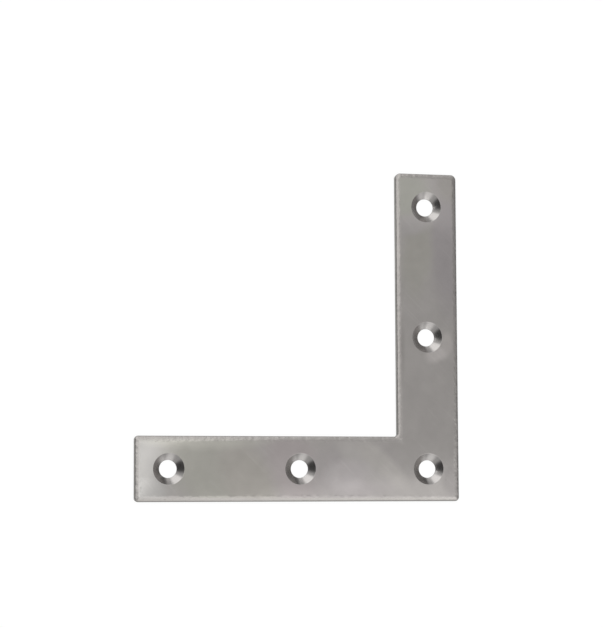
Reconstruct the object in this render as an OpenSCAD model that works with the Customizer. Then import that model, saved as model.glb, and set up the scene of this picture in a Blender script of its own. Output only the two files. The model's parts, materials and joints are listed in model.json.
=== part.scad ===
// Flat corner brace: an L-shaped plate blanked from sheet, with a countersunk screw hole
// in the corner and more along both arms.
//
// It lies on its back, as it does on a frame's corner: the underside is at z = 0 and the
// countersinks open upwards. The Z axis is the axis of the corner hole. The level arm
// points towards -X and the upright arm towards +Y. Sizes are in millimetres.

/* [Plate] */
// Length of the upright arm, measured along the outside of the L
upright_length = 100; // [60:1:200]
// Length of the level arm, measured along the outside of the L
level_length = 100; // [60:1:200]
// Width of both arms
arm_width = 19.5; // [16:0.5:30]
// Thickness of the sheet
thickness = 2; // [1.5:0.1:4]

/* [Corners and edges] */
// Radius of the two corners at the end of the upright arm
upright_end_radius = 1.7; // [1:0.1:6]
// Radius of the two corners at the end of the level arm
level_end_radius = 1.2; // [1:0.1:6]
// Radius of the outside corner of the L
outer_corner_radius = 1.2; // [1:0.1:12]
// Radius in the inside corner of the L
inner_corner_radius = 0.8; // [0.6:0.1:6]
// Radius that blanking rolls over the upper edge, all the way round
edge_roll = 0.45; // [0.2:0.05:0.8]

/* [Screw holes] */
// Number of holes along each arm beyond the one in the corner
holes_per_arm = 2; // [1:1:4]
// Distance from the end of an arm to the centre of its last hole
end_margin = 10.25; // [8:0.25:16]
// Diameter of the straight part of a screw hole
hole_diameter = 5.3; // [3.5:0.1:7]
// Diameter of the countersink at the upper face
countersink_diameter = 9.2; // [8:0.1:12]
// Angle across the countersink, from wall to wall
countersink_angle = 100; // [82:1:110]

/* [Hidden] */

$fn = 96;
steel_colour = "#A3A29D";

// How far a cutter runs on past the surface that it opens
overrun = 0.3;

// The holes stand on the middle line of each arm, which the corner hole's axis crosses
half_width = arm_width / 2;
outer_x = half_width;
outer_y = -half_width;
end_x = half_width - level_length;
end_y = upright_length - half_width;
level_spacing = (level_length - half_width - end_margin) / holes_per_arm;
upright_spacing = (upright_length - half_width - end_margin) / holes_per_arm;

countersink_slope = tan(countersink_angle / 2);
countersink_depth = (countersink_diameter - hole_diameter) / 2 / countersink_slope;

// Corners of the L, anticlockwise from the outside one: [x, y, radius]
L_CORNERS = [
    [outer_x, outer_y, outer_corner_radius],
    [outer_x, end_y, upright_end_radius],
    [-half_width, end_y, upright_end_radius],
    [-half_width, half_width, inner_corner_radius],
    [end_x, half_width, level_end_radius],
    [end_x, outer_y, level_end_radius],
];
corner_count = len(L_CORNERS);

function corner_point(i) = [for (k = [0, 1]) L_CORNERS[i % corner_count][k]];
function corner_radius(i) = L_CORNERS[i % corner_count][2];

// Direction of the side that leaves corner i, as an angle
function side_angle(i) = let (run = corner_point(i + 1) - corner_point(i)) atan2(run[1], run[0]);

// True where the outline turns right, which it does only in the inside corner
function is_inside(i) = sin(side_angle(i) - side_angle(i + corner_count - 1)) < 0;

function along(angle, distance) = distance * [cos(angle), sin(angle)];

// Centre of the arc that rounds corner i
function arc_centre(i) =
    corner_point(i)
    + along(side_angle(i), corner_radius(i))
    - along(side_angle(i + corner_count - 1), corner_radius(i));

// Angle at which that arc starts, seen from its centre
function arc_start(i) = side_angle(i + corner_count - 1) + (is_inside(i) ? 0 : -90);

// The wedge between a square corner and the arc that rounds it, cut off an outside corner
// or left standing in an inside one
module corner_wedge(i) {
    reach = corner_radius(i) + (is_inside(i) ? 0 : overrun);
    translate(arc_centre(i))
        rotate(arc_start(i))
            difference() {
                square(reach);
                circle(r = corner_radius(i));
            }
}

module outline() {
    difference() {
        union() {
            translate([-half_width, outer_y])
                square([arm_width, upright_length]);
            translate([end_x, outer_y])
                square([level_length, arm_width]);
        }
        for (i = [0 : corner_count - 1])
            if (!is_inside(i)) corner_wedge(i);
    }
    for (i = [0 : corner_count - 1])
        if (is_inside(i)) corner_wedge(i);
}

// Section of what blanking rolls away, with the wall at x = 0 and the upper face at y = 0
module roll_section() {
    translate([-edge_roll, -edge_roll])
        difference() {
            square(edge_roll + overrun);
            circle(r = edge_roll);
        }
}

// The roll along the straight side that leaves corner i
module side_roll(i) {
    side_start = corner_point(i) + along(side_angle(i), corner_radius(i));
    side_end = corner_point(i + 1) - along(side_angle(i), corner_radius(i + 1));
    run = norm(side_end - side_start);
    translate(concat(side_start, thickness))
        rotate(side_angle(i) - 90)
            translate([0, run, 0])
                rotate([90, 0, 0])
                    linear_extrude(run)
                        roll_section();
}

// The roll round corner i
module corner_roll(i) {
    translate(concat(arc_centre(i), thickness))
        rotate(arc_start(i))
            rotate_extrude(angle = 90)
                translate([corner_radius(i), 0])
                    mirror([is_inside(i) ? 1 : 0, 0])
                        roll_section();
}

// A screw hole: straight at the underside, then opening in a cone towards the upper face
module screw_hole() {
    translate([0, 0, -overrun])
        cylinder(h = thickness + 2 * overrun, d = hole_diameter);
    translate([0, 0, thickness - countersink_depth])
        cylinder(
            h = countersink_depth + overrun,
            d1 = hole_diameter,
            d2 = countersink_diameter + 2 * overrun * countersink_slope
        );
}

module corner_brace() {
    color(steel_colour)
        difference() {
            linear_extrude(thickness)
                outline();
            for (i = [0 : corner_count - 1]) {
                side_roll(i);
                corner_roll(i);
            }
            for (k = [0 : holes_per_arm])
                translate([-k * level_spacing, 0, 0])
                    screw_hole();
            for (k = [1 : holes_per_arm])
                translate([0, k * upright_spacing, 0])
                    screw_hole();
        }
}

corner_brace();
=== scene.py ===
import json
import math

import bpy
import numpy as np
from mathutils import Matrix, Vector
from mathutils.geometry import delaunay_2d_cdt


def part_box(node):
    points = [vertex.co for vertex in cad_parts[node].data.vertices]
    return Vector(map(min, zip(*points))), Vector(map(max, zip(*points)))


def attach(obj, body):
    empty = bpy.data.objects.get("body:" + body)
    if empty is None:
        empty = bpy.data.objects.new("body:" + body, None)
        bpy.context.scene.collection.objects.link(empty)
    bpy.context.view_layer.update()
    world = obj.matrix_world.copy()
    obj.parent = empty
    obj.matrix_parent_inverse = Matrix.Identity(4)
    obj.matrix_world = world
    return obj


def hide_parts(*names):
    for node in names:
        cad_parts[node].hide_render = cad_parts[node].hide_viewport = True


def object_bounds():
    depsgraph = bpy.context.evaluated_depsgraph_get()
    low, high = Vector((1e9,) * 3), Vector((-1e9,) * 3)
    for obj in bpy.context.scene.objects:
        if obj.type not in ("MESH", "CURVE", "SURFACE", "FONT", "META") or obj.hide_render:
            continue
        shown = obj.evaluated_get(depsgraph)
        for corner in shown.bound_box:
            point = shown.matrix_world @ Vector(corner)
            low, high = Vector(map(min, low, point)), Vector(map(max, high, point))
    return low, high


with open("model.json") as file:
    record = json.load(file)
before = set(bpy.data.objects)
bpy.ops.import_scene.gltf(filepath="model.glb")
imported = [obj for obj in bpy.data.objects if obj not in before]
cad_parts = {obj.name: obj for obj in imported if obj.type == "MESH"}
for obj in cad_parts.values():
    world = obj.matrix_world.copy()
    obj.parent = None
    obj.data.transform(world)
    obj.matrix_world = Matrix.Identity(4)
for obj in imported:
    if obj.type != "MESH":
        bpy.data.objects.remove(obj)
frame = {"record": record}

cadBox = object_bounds()
mm = 0.001  # shapes are worked out in millimetres and stored in metres
print("frame loaded")


# The plate is one blanked sheet: the section of its edge is carried along the L, the section of a
# screw hole is turned about each axis, and flat skins close the two faces between them.

plate = {
    "uprightEndRadius": 1.7,   # the upright arm's end corners, mm
    "levelEndRadius": 1.2,     # the level arm's end corners
    "outerRadius": 1.2,        # the outside corner of the L
    "innerRadius": 0.8,        # the inside corner
    "rollWidth": 1.8,          # how far in from the wall the press bends the upper face
    "rollSlope": 16.0,         # how steep that bend gets, in degrees, before the rounded edge
    "rollPower": 1.5,          # 1 steepens evenly over the width, more keeps the bend to the rim
    "tightRound": 0.5,         # radius of the rounded edge where the punch ran close to the die
    "looseRound": 1.0,         # and on the opposite side, where the gap between them was widest
    "looseHeading": -70.0,     # where that side faces, degrees from +X
    "fractureHeight": 0.8,     # the sheared wall is burnished above this and torn below it
    "fractureSlant": 0.1,      # how far the torn part falls back at the underside
    "fractureRound": 0.35,     # radius where the two parts of the wall meet
    "edgeBreak": 0.09,         # radius that tumbling leaves on the lower edge
    "wornRim": 0.3,            # worn all over this far in from the wall, then less over the bend
    "leastInset": 0.25,        # corner radius kept where an inset is deeper than the corner
    "flatMargin": 0.35,        # flat band of each section beside the skins
    "wallStart": 0.02,         # the wall's own section starts this far below the rounded edge
    "bendRows": 14,            # rows of points over the bend
    "roundRows": 15,           # and over the rounded edge
    "cornerSteps": 14,
    "sideSpacing": 1.0,        # between rows along the straight sides
    "skinSpacing": 1.2,        # between points inside a skin
    "skinRowShare": 0.866,     # and between its rows, as a share of that: equal triangles
    "holeShare": 0.999,        # share of a rim's radius within which a skin's triangle is dropped
    "mapLength": 10.0,         # mm of section, or of flat face, to one unit of the map
}

screwHole = {
    "rimRadius": 4.7,          # of the countersink at the upper face
    "coneBow": 0.07,           # how far the cone sags below a straight line: it is steeper at the rim
    "bowSteps": 4,             # straight pieces that the bow is drawn from
    "bowRound": 12.0,          # radius that joins them
    "rimRound": 0.12,          # radius left on the countersink's rim
    "throatRound": 0.1,        # radius where the cone meets the straight hole
    "exitRound": 0.1,          # radius at the underside
    "steps": 128,
}

# Which material a strip of a section takes, by the rise of its normal: 1 faces straight up, 0 is level
# and -1 faces straight down. What no row names is the rolled face.
wallFinish = 1
coneFinish = 2
edgeFinishes = [(-0.6, 0.72, wallFinish)]
holeFinishes = [(-0.7, 0.2, wallFinish), (0.2, 0.93, coneFinish)]

# The unevenness that cutting and flattening leave in the upper face:
# depth in mm, length of the wave in mm, its heading from +X and its place along it in degrees
sheetWaves = [
    (0.020, 61.0, 35.0, 0.0),
    (0.012, 37.0, 118.0, 60.0),
    (0.005, 21.0, 74.0, 200.0),
]


# A chain of straight lines through the corners (place, height, radius), with a tangent arc at each:
# point = centre + radius x normal, as the normal turns from one line's to the next line's.
# Gives the points and, at each, the normal to the left of travel.
def sectionChain(corners, steps=6):
    rows = np.array(corners, float)
    heading = np.diff(rows[:, :2], axis=0)
    heading /= np.linalg.norm(heading, axis=1)[:, None]
    left = np.stack([-heading[:, 1], heading[:, 0]], 1)
    points, normals = [rows[:1, :2]], [left[:1]]
    for k in range(1, len(rows) - 1):
        turn = math.acos(np.clip(heading[k - 1] @ heading[k], -1, 1))
        side = np.sign(heading[k - 1] @ np.array([[0, 1], [-1, 0]]) @ heading[k])
        radius = rows[k, 2]
        start = rows[k, :2] - heading[k - 1] * radius * math.tan(turn / 2)
        centre = start + side * left[k - 1] * radius
        angle = np.linspace(0, turn, steps + 1)[:, None] * side
        normal = left[k - 1] * np.cos(angle) - heading[k - 1] * np.sin(angle)
        points.append(centre - side * radius * normal)
        normals.append(normal)
    points.append(rows[-1:, :2])
    normals.append(left[-1:])
    return np.concatenate(points), np.concatenate(normals)


# The edge's section as (outwards from the wall, height), from the upper face round to the underside.
# The bend falls by share to the power (rollPower + 1), so that its slope grows with share to rollPower
# and reaches rollSlope. An arc goes on from there to the wall, and the wall slants back at its tear.
def edgeSection(thickness, radius):
    width, lean = plate["rollWidth"], math.radians(plate["rollSlope"])
    power = plate["rollPower"]
    bendLength = width - radius * (1 - math.sin(lean))
    fall = bendLength * math.tan(lean) / (power + 1)
    share = np.linspace(0, 1, plate["bendRows"])
    bend = np.stack([share * bendLength - width, thickness - fall * share ** (power + 1)], 1)
    bendLean = np.arctan(share ** power * math.tan(lean))
    roundLean = np.linspace(lean, math.pi / 2, plate["roundRows"])[1:]
    centre = (-radius, thickness - fall - radius * math.cos(lean))
    roundPart = centre + radius * np.stack([np.sin(roundLean), np.cos(roundLean)], 1)
    wall, wallNormals = sectionChain([
        (0, centre[1] - plate["wallStart"], 0),
        (0, plate["fractureHeight"], plate["fractureRound"]),
        (-plate["fractureSlant"], 0, plate["edgeBreak"]),
        (-width - plate["flatMargin"], 0, 0),
    ])
    face = np.array([[-width - plate["flatMargin"], thickness]])
    lean = np.concatenate([bendLean, roundLean])
    normals = [[[0.0, 1.0]], np.stack([np.sin(lean), np.cos(lean)], 1), wallNormals]
    return np.concatenate([face, bend, roundPart, wall]), np.concatenate(normals)


# A screw hole's section as (radius, height), from the underside up the straight hole and the cone.
# The cone's height is that of a straight line less 4 x bow x share x (1 - share).
def holeSection(thickness, radius, throat):
    rim = screwHole["rimRadius"]
    shares = np.linspace(0, 1, screwHole["bowSteps"] + 1)[1:-1]
    bow = [
        (
            radius + (rim - radius) * share,
            throat + (thickness - throat) * share - 4 * screwHole["coneBow"] * share * (1 - share),
            screwHole["bowRound"],
        )
        for share in shares
    ]
    return sectionChain([
        (radius + plate["flatMargin"], 0, 0),
        (radius, 0, screwHole["exitRound"]),
        (radius, throat, screwHole["throatRound"]),
        *bow,
        (rim, thickness, screwHole["rimRound"]),
        (rim + plate["flatMargin"], thickness, 0),
    ])


# One rounded corner of the outline at each distance outwards: centre + radius x facing, over a quarter
# turn. The centre stays until an inset is deeper than the corner's radius, then it follows the mitre.
def cornerArc(corner, normalIn, normalOut, outward, sign):
    radius = np.maximum(corner[2] + sign * outward, plate["leastInset"])
    centre = np.array(corner[:2]) + np.outer(outward - sign * radius, normalIn + normalOut)
    turn = np.linspace(0, math.pi / 2, plate["cornerSteps"] + 1)[:, None]
    facing = np.cos(turn) * normalIn + np.sin(turn) * normalOut
    return centre + sign * radius[:, None] * facing[:, None, :], facing


# The edge's section carried along the whole outline: corner arcs joined by evenly divided straight
# sides, where a row is the last arc's end x (1 - share) + the next arc's start x share.
def outlineGrid(corners, section, normals):
    spots = np.array([corner[:2] for corner in corners])
    run = np.roll(spots, -1, 0) - spots
    run /= np.linalg.norm(run, axis=1)[:, None]
    out = np.stack([run[:, 1], -run[:, 0]], 1)
    runBefore = np.roll(run, 1, 0)
    turnsLeft = runBefore[:, 0] * run[:, 1] - runBefore[:, 1] * run[:, 0] > 0
    arcs = [
        cornerArc(corners[k], out[k - 1], out[k], section[:, 0], 1 if turnsLeft[k] else -1)
        for k in range(len(corners))
    ]
    rows, facings = [], []
    for (arc, facing), (nextArc, _) in zip(arcs, arcs[1:] + arcs[:1]):
        steps = max(2, int(np.linalg.norm(nextArc[0, 0] - arc[-1, 0]) / plate["sideSpacing"]))
        share = np.linspace(0, 1, steps + 1)[1:-1, None, None]
        rows += [arc, arc[-1] * (1 - share) + nextArc[0] * share]
        facings += [facing, np.repeat(facing[-1:], steps - 1, 0)]
    return liftSection(np.concatenate(rows), np.concatenate(facings), section, normals)


# The edge with the tight section and with the loose one, mixed by where each row faces: the loose
# share is (1 + facing . loose heading) / 2. Both have the same normals, so the mix keeps them.
def plateEdge(corners, thickness):
    tight, sectionNormals = edgeSection(thickness, plate["tightRound"])
    loose, _ = edgeSection(thickness, plate["looseRound"])
    points, normals = outlineGrid(corners, tight, sectionNormals)
    loosePoints, _ = outlineGrid(corners, loose, sectionNormals)
    heading = math.radians(plate["looseHeading"])
    wallColumn = np.argmax(sectionNormals[:, 0])
    facing = normals[:, wallColumn, :2]
    looseShare = (1 + facing @ np.array([math.cos(heading), math.sin(heading)])) / 2
    points += (loosePoints - points) * looseShare[:, None, None]
    return points, normals, stripFinish(sectionNormals, edgeFinishes)


# A hole's section turned about its axis: centre + radius x facing.
def holeWall(hole, centre, thickness):
    section, normals = holeSection(thickness, hole["dims"]["r_mm"], hole["dims"]["length_mm"])
    turn = np.arange(screwHole["steps"]) * 2 * math.pi / screwHole["steps"]
    facing = np.stack([np.cos(turn), np.sin(turn)], 1)
    flat = centre + facing[:, None, :] * section[None, :, :1]
    return *liftSection(flat, facing, section, normals), stripFinish(normals, holeFinishes)


# Gives each flat point the height of its place in the section, and turns the section's normals to
# face outwards: (facing x normal's reach, normal's rise).
def liftSection(flat, facing, section, normals):
    height = np.broadcast_to(section[:, 1], flat.shape[:2])
    rise = np.broadcast_to(normals[:, 1], flat.shape[:2])
    return np.dstack([flat, height]), np.dstack([facing[:, None, :] * normals[None, :, :1], rise])


# The number of the material for each strip of a section, by the mean rise of its two normals.
def stripFinish(normals, finishes):
    rise = (normals[1:, 1] + normals[:-1, 1]) / 2
    finish = np.zeros(len(rise), int)
    for lowest, highest, number in finishes:
        finish[(rise > lowest) & (rise < highest)] = number
    return finish


# The corners of the L anticlockwise, as (x, y, radius). The middle lines of the two arms cross at the
# origin, so the right edge's x is half the width of an arm.
def plateCorners(left, right, bottom, top):
    halfWidth = right
    return [
        (left, bottom, plate["levelEndRadius"]),
        (right, bottom, plate["outerRadius"]),
        (right, top, plate["uprightEndRadius"]),
        (-halfWidth, top, plate["uprightEndRadius"]),
        (-halfWidth, halfWidth, plate["innerRadius"]),
        (left, halfWidth, plate["levelEndRadius"]),
    ]


# How far each point lies inside the L: the larger of its distances inside the two arms' rectangles.
def edgeDistance(x, y, left, right, bottom, top):
    halfWidth = right
    inLevel = np.minimum.reduce([x - left, right - x, y - bottom, halfWidth - y])
    inUpright = np.minimum.reduce([x + halfWidth, right - x, y - bottom, top - y])
    return np.maximum(inLevel, inUpright)


# Points for the inside of a skin, in staggered rows: x = column x spacing, and half a spacing more in
# every second row. They keep clear of the outline and the rims.
def skinPoints(box, centres, rimRadius):
    spacing = plate["skinSpacing"]
    left, right, bottom, top = box
    across, up = np.meshgrid(
        np.arange(left, right, spacing), np.arange(bottom, top, spacing * plate["skinRowShare"])
    )
    across = across + (np.arange(len(across)) % 2)[:, None] * spacing / 2
    spots = np.stack([across.ravel(), up.ravel()], 1)
    keep = edgeDistance(*spots.T, *box) > plate["rollWidth"] + plate["flatMargin"] + spacing / 2
    for centre in centres:
        keep &= np.hypot(*(spots - centre).T) > rimRadius + spacing / 2
    return spots[keep]


# Delaunay triangles through the loops' points and the spots, all turned to face up, without those
# whose middle is nearer to a hole's axis than holeShare x the rim's radius. A sliver of three
# neighbouring points of a rim has its middle at 0.9992 of it, so some stay, up to 0.006 mm wide.
def fillSkin(loops, centres, rimRadius, spots):
    flat = np.concatenate([*loops, spots])
    starts = np.cumsum([0] + [len(loop) for loop in loops[:-1]])
    ends = [
        np.stack([np.arange(len(loop)), (np.arange(len(loop)) + 1) % len(loop)], 1) + start
        for loop, start in zip(loops, starts)
    ]
    insideOnly, closest = 1, 1e-7
    made = delaunay_2d_cdt(
        [Vector(p) for p in flat.tolist()], np.concatenate(ends).tolist(), [], insideOnly, closest
    )
    if len(made[0]) != len(flat):
        raise RuntimeError("the outline of a skin crosses itself")
    triangles = np.array(made[2])
    middle = flat[triangles].mean(1)
    reach = rimRadius * plate["holeShare"]
    inHole = [np.hypot(*(middle - centre).T) <= reach for centre in centres]
    triangles = triangles[~np.any(inHole, 0)]
    a, b, c = flat[triangles].transpose(1, 0, 2)
    turned = (b[:, 0] - a[:, 0]) * (c[:, 1] - a[:, 1]) < (b[:, 1] - a[:, 1]) * (c[:, 0] - a[:, 0])
    triangles[turned] = triangles[turned][:, ::-1]
    return triangles


# Lowers the upper face by a sum of gentle waves, depth x (1 - cos(phase)), in proportion to the
# height, and turns the normals with it.
def unevenSheet(points, normals, thickness):
    fall = np.zeros(len(points))
    slope = np.zeros((len(points), 2))
    for depth, length, heading, place in sheetWaves:
        along = np.array([math.cos(math.radians(heading)), math.sin(math.radians(heading))])
        phase = points[:, :2] @ along * 2 * math.pi / length + math.radians(place)
        fall += depth * (1 - np.cos(phase))
        slope += np.outer(depth * np.sin(phase) * 2 * math.pi / length, along)
    share = points[:, 2] / thickness
    points[:, 2] -= fall * share
    normals[:, :2] += slope * (share * normals[:, 2])[:, None]
    return points, normals / np.linalg.norm(normals, axis=1)[:, None]


# The four-sided faces between the rows and columns of a grid whose last row joins its first, each
# with its material and its place on the map: the share of the way round, and mm along the section.
def gridFaces(grid, finish, start):
    rows, columns = grid.shape[:2]
    row, column = np.meshgrid(np.arange(rows), np.arange(columns - 1), indexing="ij")
    row, column = row.ravel(), column.ravel()
    rowOf = np.stack([row, row, row + 1, row + 1], 1)
    columnOf = np.stack([column, column + 1, column + 1, column], 1)
    along = np.concatenate([[0], np.linalg.norm(np.diff(grid[0], axis=0), axis=1).cumsum()])
    place = np.dstack([rowOf / rows, along[columnOf] / plate["mapLength"]])
    return start + (rowOf % rows) * columns + columnOf, finish[column], place


# 1 as far in from the wall as wornRim, then falling to 0 over the width of the bend:
# share x share x (3 - 2 x share).
def edgeWear(points, box):
    inside = edgeDistance(points[:, 0], points[:, 1], *box) - plate["wornRim"]
    share = np.clip(1 - inside / plate["rollWidth"], 0, 1)
    return share ** 2 * (3 - 2 * share)


# The upper face or the underside between the edge and the holes, its own points numbered from first:
# those points, their normals, and the triangles through them and the ends of the grids.
def flatSkin(onTop, grids, starts, first, centres, box, thickness):
    # the edge's section starts at the upper face, a hole's at the underside
    columns = [0 if (grid is grids[0]) == onTop else -1 for grid in grids]
    loops = [grid[:, column, :2] for grid, column in zip(grids, columns)]
    numbers = [
        start + np.arange(len(grid)) * grid.shape[1] + column % grid.shape[1]
        for grid, column, start in zip(grids, columns, starts)
    ]
    rimRadius = np.hypot(*(loops[1][0] - centres[0]))
    spots = skinPoints(box, centres, rimRadius)
    number = np.concatenate([*numbers, first + np.arange(len(spots))])
    triangles = number[fillSkin(loops, centres, rimRadius, spots)]
    points = np.column_stack([spots, np.full(len(spots), thickness if onTop else 0.0)])
    normals = np.tile([0.0, 0.0, 1.0 if onTop else -1.0], (len(spots), 1))
    return points, normals, triangles if onTop else triangles[:, ::-1]


# One mesh of four-sided and three-sided faces, with its materials, its map and its share of wear.
def plateMesh(points, normals, faces, finish, places, wear, materials):
    mesh = bpy.data.meshes.new("cornerBrace")
    mesh.from_pydata((points * mm).tolist(), [], faces)
    for material in materials:
        mesh.materials.append(material)
    mesh.polygons.foreach_set("material_index", finish.astype(np.int32))
    mesh.uv_layers.new(name="around").uv.foreach_set("vector", places.astype(np.float32))
    worn = mesh.attributes.new("worn", "FLOAT", "POINT")
    worn.data.foreach_set("value", wear.astype(np.float32))
    mesh.shade_smooth()
    mesh.normals_split_custom_set_from_vertices(normals.tolist())
    if mesh.validate():
        print("the mesh had faults")
    return mesh


# The whole plate: the wall all round it, the walls of the screw holes, and the two flat skins.
def cornerBrace(materials):
    low, high = (np.array(corner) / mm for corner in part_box("corner_brace"))
    box = (low[0], high[0], low[1], high[1])
    thickness = high[2]
    holes = [mount for mount in frame["record"]["mounts"] if mount["kind"] == "bore"]
    centres = [np.array(hole["pos_m"][:2]) / mm for hole in holes]
    walls = [plateEdge(plateCorners(*box), thickness)]
    walls += [holeWall(hole, centre, thickness) for hole, centre in zip(holes, centres)]
    grids = [wall[0] for wall in walls]
    points = [grid.reshape(-1, 3) for grid in grids]
    normals = [wall[1].reshape(-1, 3) for wall in walls]
    starts = np.cumsum([0] + [len(part) for part in points])
    made = [gridFaces(grid, finish, start) for (grid, _, finish), start in zip(walls, starts)]
    quads, quadFinish, around = (np.concatenate(part) for part in zip(*made))
    triangles = []
    for onTop in (True, False):
        first = sum(len(part) for part in points)
        spots, facings, skin = flatSkin(onTop, grids, starts, first, centres, box, thickness)
        points.append(spots)
        normals.append(facings)
        triangles.append(skin)
    triangles = np.concatenate(triangles)
    points, normals = unevenSheet(np.concatenate(points), np.concatenate(normals), thickness)
    finish = np.concatenate([quadFinish, np.zeros(len(triangles), int)])
    # on the walls the map runs round the hole and along the section, so that the rings can follow it
    flatMap = points[triangles][:, :, :2] / plate["mapLength"]
    places = np.concatenate([around.ravel(), flatMap.ravel()])
    faces = quads.tolist() + triangles.tolist()
    mesh = plateMesh(points, normals, faces, finish, places, edgeWear(points, box), materials)
    made = bpy.data.objects.new("plate", mesh)
    bpy.context.scene.collection.objects.link(made)
    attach(made, "root")
    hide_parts("corner_brace")
    print("plate:", len(points), "points,", len(quads) * 2 + len(triangles), "triangles")


# Adds a node with its settings and links. A socket given for an input is linked, anything else is its
# value. An input is named with _ for a space, or i and its number where the name isn't unique.
def addNode(tree, kind, settings=None, **inputs):
    made = tree.nodes.new("ShaderNode" + kind)
    for name, value in (settings or {}).items():
        setattr(made, name, value)
    for name, value in inputs.items():
        numbered = name[0] == "i" and name[1:].isdigit()
        socket = made.inputs[int(name[1:]) if numbered else name.replace("_", " ")]
        if isinstance(value, bpy.types.NodeSocket):
            tree.links.new(value, socket)
        else:
            socket.default_value = value
    return made


# An sRGB colour such as "#A9A7A2" as linear red, green, blue and alpha.
def linearColour(code):
    parts = np.array([int(code[k:k + 2], 16) for k in (1, 3, 5)]) / 255
    return (*np.where(parts <= 0.04045, parts / 12.92, ((parts + 0.055) / 1.055) ** 2.4).tolist(), 1.0)


def emptyMaterial(name):
    material = bpy.data.materials.new(name)
    material.use_nodes = True
    material.node_tree.nodes.clear()
    return material, material.node_tree


noiseLow, noiseHigh = 0.3, 0.7  # nearly all of a noise's values lie between these

steelFace = {
    "steel": "#ACA8A5",
    "roughness": 0.11,
    "wornRoughness": 0.36,     # along the edges, where tumbling has dulled the face
    "cloudSize": 5.0,          # mm across the faint clouds all over
    "cloudDepth": 0.07,        # share by which they darken
    "wander": 2.5,             # mm that the border of a patch wanders
    "wanderSize": 9.0,         # mm from one bay of that border to the next
    "fadeStart": 1.45,         # a patch begins at this many half sizes from its centre
    "fadeEnd": 0.55,           # and is full at this many
    "patchDepth": 1.0,         # mm below the upper face at which a patch ends
    "dentSize": 1.3,           # mm across the dents along the edges
    "dentDepth": 0.17,
    "grainHeading": -45.0,     # of the grain and the scratches, degrees from +X
    "grainPitch": 0.35,        # mm between grains, coarser than the real 0.02 so that it shows
    "grainLength": 6.0,
    "grainDepth": 0.0006,
    "scratchPitch": 0.45,
    "scratchLength": 16.0,
    "scratchFrom": 0.6,        # a scratch begins where its noise is above this
    "scratchTo": 0.78,         # and is full above this
    "scratchGlint": 0.06,      # share by which a scratch is lighter
}

# Patches of the face whose colour differs: centre, length and width in mm, heading from +X in degrees,
# and colour. Each is laid over the ones before it. Those near the steel's own colour are its faint tints;
# several lighter and darker ones are painted light and shade, marked below.
tintAndPaintedLightPatches = [
    ((-87, 1), (15, 30), 0, "#AAA8A5"),
    ((-69, 0), (18, 34), 30, "#AAA8A1"),
    ((-56, -3), (14, 24), 30, "#ACA8A2"),
    ((-42, 1), (15, 24), 20, "#AFA8A7"),
    ((-24, -1), (26, 18), 0, "#ADA8A7"),
    # painted shade: the upright darker down its right side
    ((6.4, 68), (40, 11), 95, "#A49F9F"),
    ((-3, 66), (26, 9), 85, "#ABA8A2"),
    ((-7, 84), (16, 14), 0, "#A9A8A1"),
    # painted reflection: a light band slanting across the level arm
    ((-21, 2.5), (21, 7), -43, "#B6B2AF"),
    # painted glint beside a countersink
    ((2.9, 34.6), (7, 4.6), 20, "#C0BBB8"),
    # painted reflection: lighter towards the level arm's lower edge
    ((-25.5, -1.7), (13, 9), 10, "#BAB5B4"),
    # painted reflection: a second light slanting band
    ((-15, 2), (20, 6), -45, "#B8B4B0"),
    # painted reflection: lighter at the level arm's end
    ((-86, -6.3), (9, 6), 0, "#B7B5B2"),
    ((-5, 74.5), (15, 6), 12, "#AFABA9"),
    # painted shade: darker at the upright's top right
    ((8, 87), (9, 11), 0, "#A29E9A"),
    # painted shade: darker on the right of the outside corner
    ((7.5, -3.5), (6, 9), 0, "#9F9B99"),
    ((-9.6, 34), (4, 22), 0, "#A09C99"),
    ((-69, 9.6), (34, 7), 0, "#BBB9B1"),
    ((6.2, 38.5), (4, 6), 0, "#B9B4B1"),
]


# The colour of the rolled face: the steel's own, with each patch of tint or of painted light and shade
# mixed in where the length of (place - centre) / half size falls from fadeStart to fadeEnd. 1 is on the
# patch's border.
def tintWithPaintedLight(tree, place):
    wander, depth = steelFace["wander"] * mm, steelFace["patchDepth"] * mm
    noise = addNode(
        tree, "TexNoise", Vector=place, Scale=1 / (steelFace["wanderSize"] * mm), Detail=2.0, Roughness=0.5
    )
    moved = addNode(
        tree, "VectorMath", {"operation": "MULTIPLY_ADD"}, i0=noise.outputs["Color"],
        i1=(wander, wander, 0), i2=place,
    ).outputs["Vector"]
    tint = linearColour(steelFace["steel"])
    for (x, y), (length, width), heading, colour in tintAndPaintedLightPatches:
        # the noise lies about 1/2, so it moves every place by half the wander
        middle = (x * mm + wander / 2, y * mm + wander / 2, cadBox[1][2])
        local = addNode(
            tree, "Mapping", {"vector_type": "TEXTURE"}, Vector=moved, Location=middle,
            Rotation=(0, 0, math.radians(heading)), Scale=(length * mm / 2, width * mm / 2, depth),
        )
        distance = addNode(tree, "VectorMath", {"operation": "LENGTH"}, i0=local.outputs["Vector"])
        cover = addNode(
            tree, "MapRange", {"interpolation_type": "SMOOTHSTEP"}, Value=distance.outputs["Value"],
            From_Min=steelFace["fadeStart"], From_Max=steelFace["fadeEnd"],
        )
        tint = addNode(
            tree, "Mix", {"data_type": "RGBA"}, i0=cover.outputs["Result"], i6=tint,
            i7=linearColour(colour),
        ).outputs[2]
    return tint


# Noise drawn out along the grain: vector = place turned, then divided by length and pitch.
def streakNoise(tree, place, length, pitch, detail):
    along = addNode(
        tree, "Mapping", {"vector_type": "TEXTURE"}, Vector=place,
        Rotation=(0, 0, math.radians(steelFace["grainHeading"])), Scale=(length * mm, pitch * mm, mm),
    )
    return addNode(tree, "TexNoise", Vector=along.outputs["Vector"], Scale=1.0, Detail=detail).outputs["Fac"]
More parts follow.
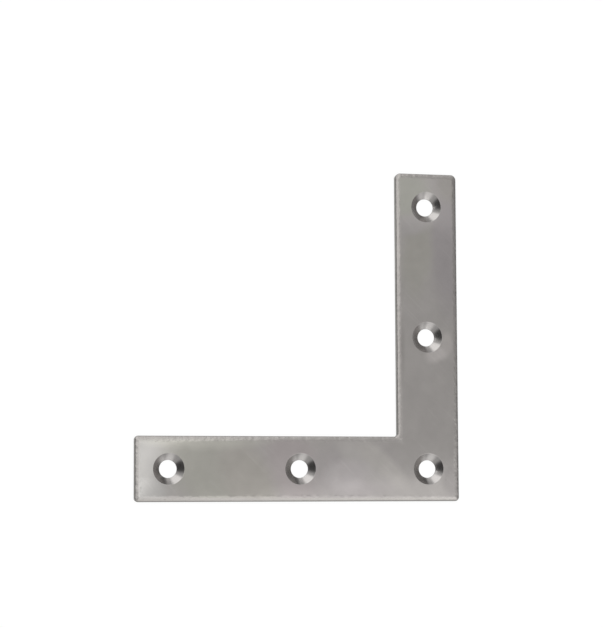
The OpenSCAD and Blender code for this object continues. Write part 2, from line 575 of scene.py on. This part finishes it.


# Cold-rolled stainless steel with a satin rolled face: a soft mirror with a faint grain, fine
# scratches, clouds, faint patches of tint, and lighter and darker patches of painted reflection and painted
# shade. Tumbling has taken the tint off the edges, where the painted patches stop too, and left them duller
# and lightly dented.
def rolledStainless():
    material, tree = emptyMaterial("rolledStainless")
    place = addNode(tree, "TexCoord").outputs["Object"]
    worn = addNode(tree, "Attribute", {"attribute_name": "worn"}).outputs["Fac"]
    tint = addNode(
        tree, "Mix", {"data_type": "RGBA"}, i0=worn, i6=tintWithPaintedLight(tree, place),
        i7=linearColour(steelFace["steel"]),
    ).outputs[2]
    cloud = addNode(
        tree, "TexNoise", Vector=place, Scale=1 / (steelFace["cloudSize"] * mm), Detail=2.0, Roughness=0.5
    )
    veil = addNode(
        tree, "MapRange", Value=cloud.outputs["Fac"], From_Min=noiseLow, From_Max=noiseHigh,
        To_Min=1 - steelFace["cloudDepth"], To_Max=1.0,
    )
    scratches = streakNoise(tree, place, steelFace["scratchLength"], steelFace["scratchPitch"], 1.0)
    glint = addNode(
        tree, "MapRange", {"interpolation_type": "SMOOTHSTEP"}, Value=scratches,
        From_Min=steelFace["scratchFrom"], From_Max=steelFace["scratchTo"],
        To_Min=1.0, To_Max=1 + steelFace["scratchGlint"],
    )
    shade = addNode(
        tree, "Math", {"operation": "MULTIPLY"}, i0=veil.outputs["Result"], i1=glint.outputs["Result"]
    )
    shaded = addNode(tree, "VectorMath", {"operation": "SCALE"}, i0=tint, i3=shade.outputs[0])
    roughness = addNode(
        tree, "MapRange", Value=worn, To_Min=steelFace["roughness"], To_Max=steelFace["wornRoughness"]
    )
    dents = addNode(tree, "TexNoise", Vector=place, Scale=1 / (steelFace["dentSize"] * mm), Detail=1.0)
    aboutZero = addNode(tree, "Math", {"operation": "SUBTRACT"}, i0=dents.outputs["Fac"], i1=0.5)
    dented = addNode(tree, "Math", {"operation": "MULTIPLY"}, i0=aboutZero.outputs[0], i1=worn)
    dentRelief = addNode(
        tree, "Bump", Height=dented.outputs[0], Strength=1.0, Distance=steelFace["dentDepth"] * mm
    )
    grain = streakNoise(tree, place, steelFace["grainLength"], steelFace["grainPitch"], 3.0)
    relief = addNode(
        tree, "Bump", Height=grain, Strength=1.0, Distance=steelFace["grainDepth"] * mm,
        Normal=dentRelief.outputs["Normal"],
    )
    shader = addNode(
        tree, "BsdfPrincipled", Base_Color=shaded.outputs["Vector"], Metallic=1.0,
        Roughness=roughness.outputs["Result"], Normal=relief.outputs["Normal"],
    )
    addNode(tree, "OutputMaterial", Surface=shader.outputs["BSDF"])
    return material


shearedEdge = {
    # the wall's two colours, each partly painted shade
    "burnished": "#8B8986",
    "torn": "#6F6D6A",
    "burnishedRoughness": 0.34,
    "tornRoughness": 0.62,
    "streakPitch": 0.12,       # mm between the die's streaks
    "streakLength": 25.0,      # mm, so that they run the whole height of the wall
    "streakDepth": 0.004,
    "tearSize": 0.09,          # mm, grain of the torn part
    "tearDepth": 0.012,
    "borderWander": 0.15,      # mm that the border between the two wanders up and down
    "borderSize": 1.6,         # mm from one rise of that border to the next
    "borderBlur": 0.06,        # mm to either side over which one turns into the other
}


# The wall that the press cut: burnished by the die above, with fine upright streaks, and torn
# below, where the grain is coarse and dull. Both are darker than the face: partly the rough steel's own
# colour and partly painted shade, in place of the shadow beside the plate that the wall reflects.
def shearedWall():
    material, tree = emptyMaterial("shearedWall")
    place = addNode(tree, "TexCoord").outputs["Object"]
    across = 1 / (shearedEdge["streakPitch"] * mm)
    upright = addNode(
        tree, "Mapping", Vector=place, Scale=(across, across, 1 / (shearedEdge["streakLength"] * mm))
    )
    streaks = addNode(tree, "TexNoise", Vector=upright.outputs["Vector"], Scale=1.0, Detail=2.0)
    tears = addNode(
        tree, "TexNoise", Vector=place, Scale=1 / (shearedEdge["tearSize"] * mm), Detail=4.0, Roughness=0.65
    )
    wander = addNode(tree, "TexNoise", Vector=place, Scale=1 / (shearedEdge["borderSize"] * mm), Detail=4.0)
    height = addNode(tree, "SeparateXYZ", Vector=place)
    border = addNode(
        tree, "MapRange", Value=wander.outputs["Fac"], From_Min=noiseLow, From_Max=noiseHigh,
        To_Min=(plate["fractureHeight"] - shearedEdge["borderWander"]) * mm,
        To_Max=(plate["fractureHeight"] + shearedEdge["borderWander"]) * mm,
    )
    above = addNode(
        tree, "Math", {"operation": "SUBTRACT"}, i0=height.outputs["Z"], i1=border.outputs["Result"]
    )
    burnish = addNode(
        tree, "MapRange", {"interpolation_type": "SMOOTHSTEP"}, Value=above.outputs["Value"],
        From_Min=-shearedEdge["borderBlur"] * mm, From_Max=shearedEdge["borderBlur"] * mm,
    )
    # the two colours, darkened partly with painted shade
    tint = addNode(
        tree, "Mix", {"data_type": "RGBA"}, i0=burnish.outputs["Result"],
        i6=linearColour(shearedEdge["torn"]), i7=linearColour(shearedEdge["burnished"]),
    )
    roughness = addNode(
        tree, "MapRange", Value=burnish.outputs["Result"],
        To_Min=shearedEdge["tornRoughness"], To_Max=shearedEdge["burnishedRoughness"],
    )
    streakHeight = addNode(
        tree, "Math", {"operation": "MULTIPLY"}, i0=streaks.outputs["Fac"],
        i1=shearedEdge["streakDepth"] / shearedEdge["tearDepth"],
    )
    relief = addNode(
        tree, "Mix", {"data_type": "FLOAT"}, i0=burnish.outputs["Result"],
        i2=tears.outputs["Fac"], i3=streakHeight.outputs["Value"],
    )
    bump = addNode(
        tree, "Bump", Height=relief.outputs[0], Strength=1.0, Distance=shearedEdge["tearDepth"] * mm
    )
    shader = addNode(
        tree, "BsdfPrincipled", Base_Color=tint.outputs[2], Metallic=1.0,
        Roughness=roughness.outputs["Result"], Normal=bump.outputs["Normal"],
    )
    addNode(tree, "OutputMaterial", Surface=shader.outputs["BSDF"])
    return material


cutterMarks = {
    "steel": "#A3A09E",
    "roughness": 0.2,
    "anisotropy": 0.3,
    "ringPitch": 0.22,         # mm between rings, coarser than the real 0.05 so that they show
    "ringDepth": 0.002,
    "ringDistortion": 0.6,     # share of the pitch by which a ring wanders
    "wobbleSize": 1.1,         # mm from one such wandering to the next
}


# A countersink cut by a turning tool: bright bare steel with fine rings about the axis, which
# draw each reflection out into a fan from the throat to the rim.
def turnedCone():
    material, tree = emptyMaterial("turnedCone")
    around = addNode(tree, "UVMap", {"uv_map": "around"}).outputs["UV"]
    place = addNode(tree, "TexCoord").outputs["Object"]
    parts = addNode(tree, "SeparateXYZ", Vector=around)
    wobble = addNode(tree, "TexNoise", Vector=place, Scale=1 / (cutterMarks["wobbleSize"] * mm), Detail=1.0)
    shifted = addNode(
        tree, "Math", {"operation": "MULTIPLY_ADD"}, i0=wobble.outputs["Fac"],
        i1=cutterMarks["ringDistortion"] * cutterMarks["ringPitch"] / plate["mapLength"],
        i2=parts.outputs["Y"],
    )
    rings = addNode(
        tree, "TexNoise", {"noise_dimensions": "1D"}, W=shifted.outputs["Value"],
        Scale=plate["mapLength"] / cutterMarks["ringPitch"], Detail=2.0,
    )
    bump = addNode(
        tree, "Bump", Height=rings.outputs["Fac"], Strength=1.0, Distance=cutterMarks["ringDepth"] * mm
    )
    tangent = addNode(tree, "Tangent", {"direction_type": "UV_MAP", "uv_map": "around"})
    shader = addNode(
        tree, "BsdfPrincipled", Base_Color=linearColour(cutterMarks["steel"]), Metallic=1.0,
        Roughness=cutterMarks["roughness"], Anisotropic=cutterMarks["anisotropy"],
        Normal=bump.outputs["Normal"], Tangent=tangent.outputs["Tangent"],
    )
    addNode(tree, "OutputMaterial", Surface=shader.outputs["BSDF"])
    return material


cornerBrace([rolledStainless(), shearedWall(), turnedCone()])


studio = {
    "floorSize": 6.0,          # m
    "floorColour": "#F2F2F0",
    "floorGlow": 0.93,         # what the camera and the steel see of the floor in any light
    "floorSeen": 0.09,         # and the share that they see of the light that falls on it
    "floorDrop": 0.00001,      # m below the underside, so that the two faces don't meet
    "surround": 0.7,
}

# Softboxes above the plate, in m: centre, width and length, turn about Z in degrees, and brightness.
# Where two at one height overlap, the steel shows only one, so one that adds to another hangs lower.
softboxes = {
    "leftSoftbox": ((-0.118, 0.131, 0.2), (0.25, 0.107), -31, 0.60),
    "leftFarSoftbox": ((-0.198, 0.0801, 0.2), (0.165, 0.063), -31, 1.0),
    "leftEndSoftbox": ((-0.0909, 0.0157, 0.2), (0.085, 0.063), -31, 0.72),
    "leftLowSoftbox": ((-0.185, 0.010, 0.2), (0.07, 0.05), 0, 0.4),
    "longSoftbox": ((0.005, 0.270, 0.2), (0.06, 0.35), -15, 0.9),
    "nearLowSoftbox": ((0.105, -0.330, 0.2), (0.08, 0.25), 12.4, 0.5),
    "nearEndSoftbox": ((0.1, -0.115, 0.19), (0.07, 0.12), 0, 0.36),
    "nearSoftbox": ((0.092, -0.119, 0.2), (0.32, 0.25), 8.5, 0.43),
    "farSoftbox": ((0.050, 0.124, 0.2), (0.09, 0.04), -12, 0.20),
}

# Diffusers and dark cards that the steel reflects, each laid over the ones before it:
# degrees from the zenith, heading from +X, half width and softness in degrees, and brightness
cards = {
    "overhead": (8, 5, 4, 10, 0.82),
    "front": (33, -60, 18, 22, 1.02),
    "far": (60, 76, 17, 10, 0.95),
    "leftDark": (66, 183, 18, 20, 0.1),
    "leftDarkLow": (66, 204, 14, 18, 0.09),
    "upperLeft": (73, 117, 22, 12, 1.9),
    "below": (65, -86, 18, 18, 1.4),
    "belowRight": (75, -46, 12, 16, 1.2),
    "upperRight": (87, 54, 16, 14, 0.09),
    "right": (60, 0, 32, 24, 0.45),
    "rightLow": (90, 5, 28, 16, 0.05),
}


# A flat sheet of white paper. The camera and what mirrors see floorGlow + floorSeen x the light on it,
# and every other ray sees the paper's own colour.
def studioFloor():
    half, z = studio["floorSize"] / 2, -studio["floorDrop"]
    mesh = bpy.data.meshes.new("floor")
    corners = [(-half, -half, z), (half, -half, z), (half, half, z), (-half, half, z)]
    mesh.from_pydata(corners, [], [(0, 1, 2, 3)])
    material, tree = emptyMaterial("whitePaper")
    rays = addNode(tree, "LightPath").outputs
    seen = rays["Is Camera Ray"]
    for kind in ("Is Glossy Ray", "Is Transmission Ray"):
        seen = addNode(tree, "Math", {"operation": "MAXIMUM"}, i0=seen, i1=rays[kind]).outputs[0]
    glow = addNode(tree, "Math", {"operation": "MULTIPLY"}, i0=seen, i1=studio["floorGlow"])
    shade = addNode(
        tree, "Mix", {"data_type": "RGBA"}, i0=seen,
        i6=linearColour(studio["floorColour"]), i7=(*[studio["floorSeen"]] * 3, 1),
    )
    paper = addNode(tree, "BsdfDiffuse", Color=shade.outputs[2])
    light = addNode(tree, "Emission", Strength=glow.outputs[0])
    both = addNode(tree, "AddShader", i0=paper.outputs[0], i1=light.outputs[0])
    addNode(tree, "OutputMaterial", Surface=both.outputs[0])
    mesh.materials.append(material)
    floor = bpy.data.objects.new("floor", mesh)
    bpy.context.scene.collection.objects.link(floor)


# A lamp with one flat glowing side: brightness = power / (area x pi).
def softbox(name, centre, size, turn, brightness):
    data = bpy.data.lights.new(name, "AREA")
    data.shape = "RECTANGLE"
    data.size, data.size_y = size
    data.energy = brightness * math.pi * size[0] * size[1]
    lamp = bpy.data.objects.new(name, data)
    lamp.location = centre
    lamp.rotation_euler = (0, 0, math.radians(turn))
    lamp.visible_camera = False
    bpy.context.scene.collection.objects.link(lamp)


# The unit vector at an angle from the zenith and a heading from +X.
def direction(fromZenith, heading):
    polar, turn = math.radians(fromZenith), math.radians(heading)
    return (math.sin(polar) * math.cos(turn), math.sin(polar) * math.sin(turn), math.cos(polar))


# The lamps, and a world at the surround's level with each card mixed in. A card's share rises from 0
# at half width + softness / 2 to 1 at half width - softness / 2. The camera sees plain white instead.
def studioLight():
    for name, values in softboxes.items():
        softbox(name, *values)
    world = bpy.data.worlds.new("studio")
    bpy.context.scene.world = world
    world.use_nodes = True
    tree = world.node_tree
    tree.nodes.clear()
    way = addNode(tree, "TexCoord").outputs["Generated"]
    level = studio["surround"]
    for fromZenith, heading, halfWidth, softness, brightness in cards.values():
        close = addNode(
            tree, "VectorMath", {"operation": "DOT_PRODUCT"}, i0=way, i1=direction(fromZenith, heading)
        )
        cover = addNode(
            tree, "MapRange", {"interpolation_type": "SMOOTHSTEP"}, Value=close.outputs["Value"],
            From_Min=math.cos(math.radians(halfWidth + softness / 2)),
            From_Max=math.cos(math.radians(max(0, halfWidth - softness / 2))),
        )
        level = addNode(
            tree, "Mix", {"data_type": "FLOAT"}, i0=cover.outputs["Result"], i2=level, i3=brightness
        ).outputs[0]
    rays = addNode(tree, "LightPath").outputs
    strength = addNode(tree, "Mix", {"data_type": "FLOAT"}, i0=rays["Is Camera Ray"], i2=level, i3=1.0)
    light = addNode(tree, "Background", Color=(1, 1, 1, 1), Strength=strength.outputs[0])
    addNode(tree, "OutputWorld", Surface=light.outputs[0])


photoView = {
    "target": (-0.03905, 0.04663, 0.0),
    "azimuth": -69.65,         # from -Y towards +X, degrees
    "elevation": 74.97,
    "roll": -0.27,
    "distance": 0.66146,
    "focalPixels": 2193.8,     # the lens, in pixels of the photograph's frame
    "framePixels": 628,        # the frame's longer side
    "clip": (0.01, 20),
}


# Looks back at the target: camera = target + distance x back, where back points from it to the camera.
def photoCamera():
    data = bpy.data.cameras.new("photoCamera")
    data.lens = photoView["focalPixels"] * data.sensor_width / photoView["framePixels"]
    data.clip_start, data.clip_end = photoView["clip"]
    back = Vector(direction(90 - photoView["elevation"], photoView["azimuth"] - 90))
    right = Vector((0, 1, 0)).cross(back).normalized()
    turned = Matrix((right, back.cross(right), back)).transposed()
    camera = bpy.data.objects.new("photoCamera", data)
    camera.rotation_euler = (turned @ Matrix.Rotation(math.radians(photoView["roll"]), 3, "Z")).to_euler()
    camera.location = Vector(photoView["target"]) + back * photoView["distance"]
    bpy.context.scene.collection.objects.link(camera)
    bpy.context.scene.camera = camera


studioFloor()
studioLight()
photoCamera()
bpy.context.scene.view_settings.view_transform = "Standard"
print("studio set")
